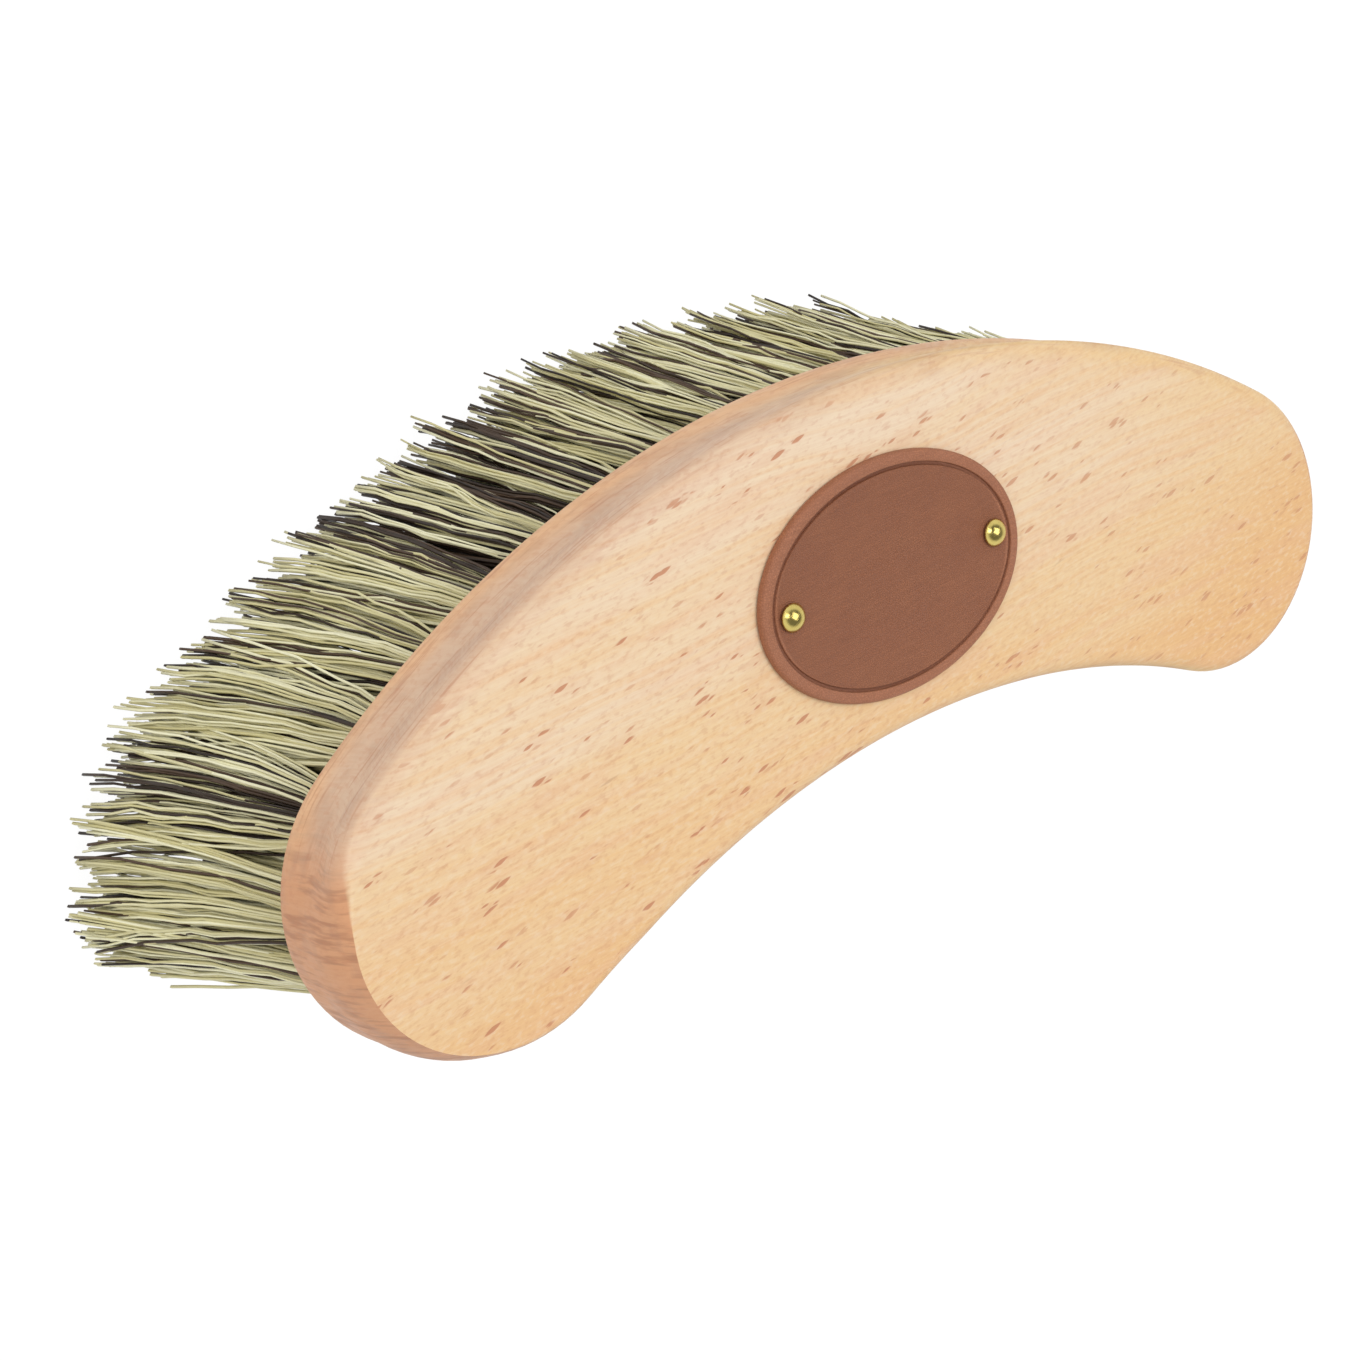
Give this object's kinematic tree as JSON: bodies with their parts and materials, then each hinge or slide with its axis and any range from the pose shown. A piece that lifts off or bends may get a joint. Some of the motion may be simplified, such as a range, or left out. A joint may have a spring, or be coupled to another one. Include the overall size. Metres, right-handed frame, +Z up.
{
  "type": "grooming brush",
  "caption": "Bowed wooden grooming brush with a rim and two inner rows of stiff bristle tufts and a nailed oval leather badge.",
  "frame": {"origin": "middle of the footprint, on the plane that the bristle tips stand on", "axes": "+X along the block, +Y towards its bulging edge, +Z up, from the bristle tips to the badge"},
  "size_m": [0.2562, 0.091, 0.0792],
  "materials": {
    "beech": "satin",
    "leather": "satin",
    "brass": "polished",
    "fibre_pale": "satin",
    "fibre_dark": "satin"
  },
  "bodies": {
    "root": {"block": "beech", "badge": "leather", "nail_left": "brass", "nail_right": "brass", "tuft_rim_01": "fibre_pale", "tuft_rim_02": "fibre_dark", "tuft_rim_03": "fibre_pale", "tuft_rim_04": "fibre_pale", "tuft_rim_05": "fibre_dark", "tuft_rim_06": "fibre_pale", "tuft_rim_07": "fibre_pale", "tuft_rim_08": "fibre_dark", "tuft_rim_09": "fibre_pale", "tuft_rim_10": "fibre_pale", "tuft_rim_11": "fibre_dark", "tuft_rim_12": "fibre_pale", "tuft_rim_13": "fibre_pale", "tuft_rim_14": "fibre_dark", "tuft_rim_15": "fibre_pale", "tuft_rim_16": "fibre_pale", "tuft_rim_17": "fibre_dark", "tuft_rim_18": "fibre_pale", "tuft_rim_19": "fibre_pale", "tuft_rim_20": "fibre_dark", "tuft_rim_21": "fibre_pale", "tuft_rim_22": "fibre_pale", "tuft_rim_23": "fibre_dark", "tuft_rim_24": "fibre_pale", "tuft_rim_25": "fibre_pale", "tuft_rim_26": "fibre_dark", "tuft_rim_27": "fibre_pale", "tuft_rim_28": "fibre_pale", "tuft_rim_29": "fibre_dark", "tuft_rim_30": "fibre_pale", "tuft_rim_31": "fibre_pale", "tuft_rim_32": "fibre_dark", "tuft_rim_33": "fibre_pale", "tuft_rim_34": "fibre_pale", "tuft_inner1_01": "fibre_dark", "tuft_inner1_02": "fibre_pale", "tuft_inner1_03": "fibre_pale", "tuft_inner1_04": "fibre_dark", "tuft_inner1_05": "fibre_pale", "tuft_inner1_06": "fibre_pale", "tuft_inner1_07": "fibre_dark", "tuft_inner1_08": "fibre_pale", "tuft_inner1_09": "fibre_pale", "tuft_inner1_10": "fibre_dark", "tuft_inner1_11": "fibre_pale", "tuft_inner1_12": "fibre_pale", "tuft_inner2_01": "fibre_dark", "tuft_inner2_02": "fibre_pale", "tuft_inner2_03": "fibre_pale", "tuft_inner2_04": "fibre_dark", "tuft_inner2_05": "fibre_pale", "tuft_inner2_06": "fibre_pale", "tuft_inner2_07": "fibre_dark", "tuft_inner2_08": "fibre_pale", "tuft_inner2_09": "fibre_pale", "tuft_inner2_10": "fibre_dark"}
  },
  "joints": []
}
